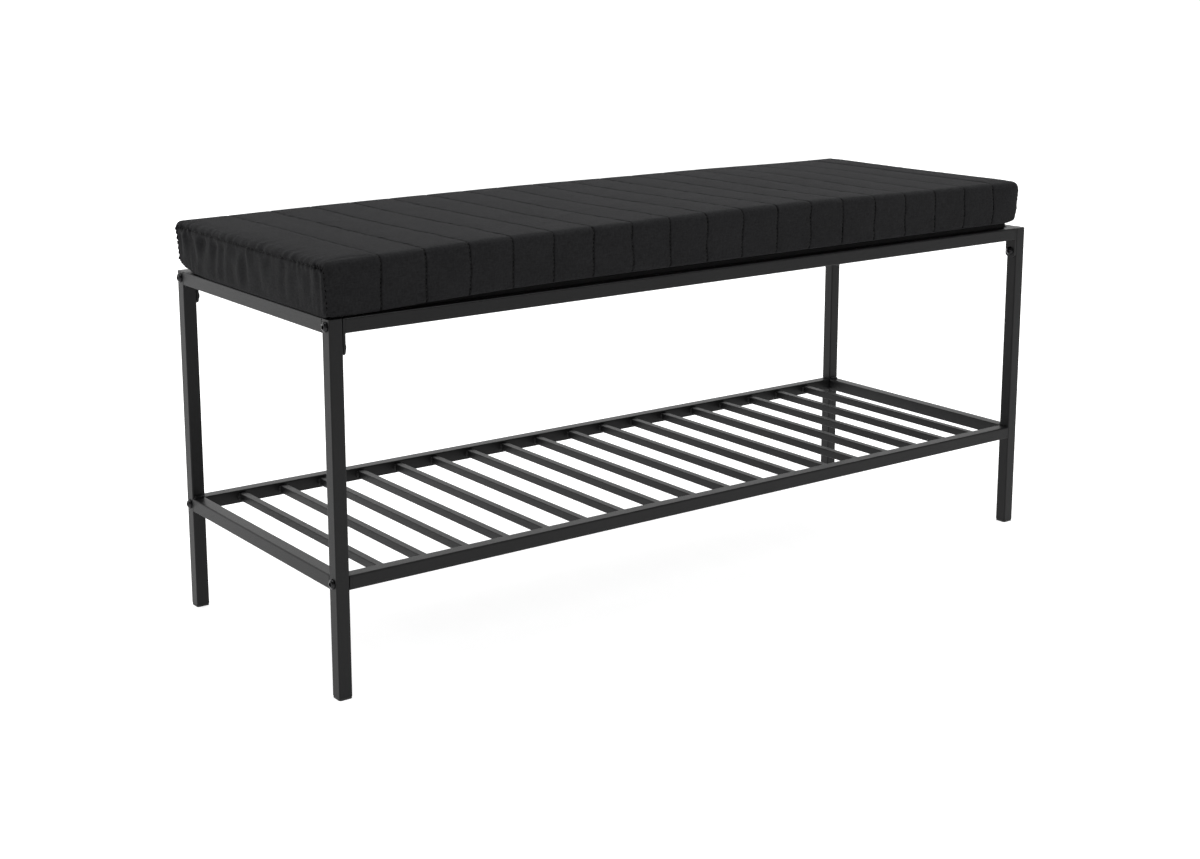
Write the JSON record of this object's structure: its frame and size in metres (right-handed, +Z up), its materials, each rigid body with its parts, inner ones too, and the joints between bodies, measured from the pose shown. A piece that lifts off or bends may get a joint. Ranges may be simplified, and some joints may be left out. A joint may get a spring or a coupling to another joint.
{
  "type": "entryway bench",
  "caption": "Long low bench: a bolted square-tube steel frame with a slatted shelf, a thin seat board and a loose quilted cushion that lifts off.",
  "frame": {"origin": "on the floor under the middle of the bench", "axes": "+X along the bench's length, +Y towards the back, +Z up; the front faces -Y"},
  "size_m": [1.0068, 0.35, 0.4506],
  "materials": {
    "coated_steel": "matte",
    "black_screws": "satin",
    "black_plastic": "matte",
    "painted_board": "matte",
    "black_fabric": "matte"
  },
  "bodies": {
    "bench_frame": {"back_seat_rail": "coated_steel", "back_shelf_rail": "coated_steel", "front_seat_rail": "coated_steel", "front_shelf_rail": "coated_steel", "left_back_foot_cap": "black_plastic", "left_back_leg": "coated_steel", "left_back_seat_screw": "black_screws", "left_back_shelf_end_plate": "coated_steel", "left_back_shelf_screw": "black_screws", "left_back_tab_plate": "coated_steel", "left_back_tab_screw": "black_screws", "left_back_weld_nut": "black_screws", "left_front_foot_cap": "black_plastic", "left_front_leg": "coated_steel", "left_front_seat_screw": "black_screws", "left_front_shelf_end_plate": "coated_steel", "left_front_shelf_screw": "black_screws", "left_front_tab_plate": "coated_steel", "left_front_tab_screw": "black_screws", "left_front_weld_nut": "black_screws", "left_lower_side_rail": "coated_steel", "left_top_side_rail": "coated_steel", "right_back_foot_cap": "black_plastic", "right_back_leg": "coated_steel", "right_back_seat_screw": "black_screws", "right_back_shelf_end_plate": "coated_steel", "right_back_shelf_screw": "black_screws", "right_back_tab_plate": "coated_steel", "right_back_tab_screw": "black_screws", "right_back_weld_nut": "black_screws", "right_front_foot_cap": "black_plastic", "right_front_leg": "coated_steel", "right_front_seat_screw": "black_screws", "right_front_shelf_end_plate": "coated_steel", "right_front_shelf_screw": "black_screws", "right_front_tab_plate": "coated_steel", "right_front_tab_screw": "black_screws", "right_front_weld_nut": "black_screws", "right_lower_side_rail": "coated_steel", "right_top_side_rail": "coated_steel", "seat_board": "painted_board", "shelf_slat_01": "coated_steel", "shelf_slat_02": "coated_steel", "shelf_slat_03": "coated_steel", "shelf_slat_04": "coated_steel", "shelf_slat_05": "coated_steel", "shelf_slat_06": "coated_steel", "shelf_slat_07": "coated_steel", "shelf_slat_08": "coated_steel", "shelf_slat_09": "coated_steel", "shelf_slat_10": "coated_steel", "shelf_slat_11": "coated_steel", "shelf_slat_12": "coated_steel", "shelf_slat_13": "coated_steel", "shelf_slat_14": "coated_steel", "shelf_slat_15": "coated_steel", "shelf_slat_16": "coated_steel", "shelf_slat_17": "coated_steel", "shelf_slat_18": "coated_steel"},
    "seat_cushion": {"cushion": "black_fabric"}
  },
  "joints": [
    {"name": "cushion_lift", "type": "slide", "parent": "bench_frame", "child": "seat_cushion", "axis": [0, 0, 1], "range_m": [0, 0.12]}
  ]
}
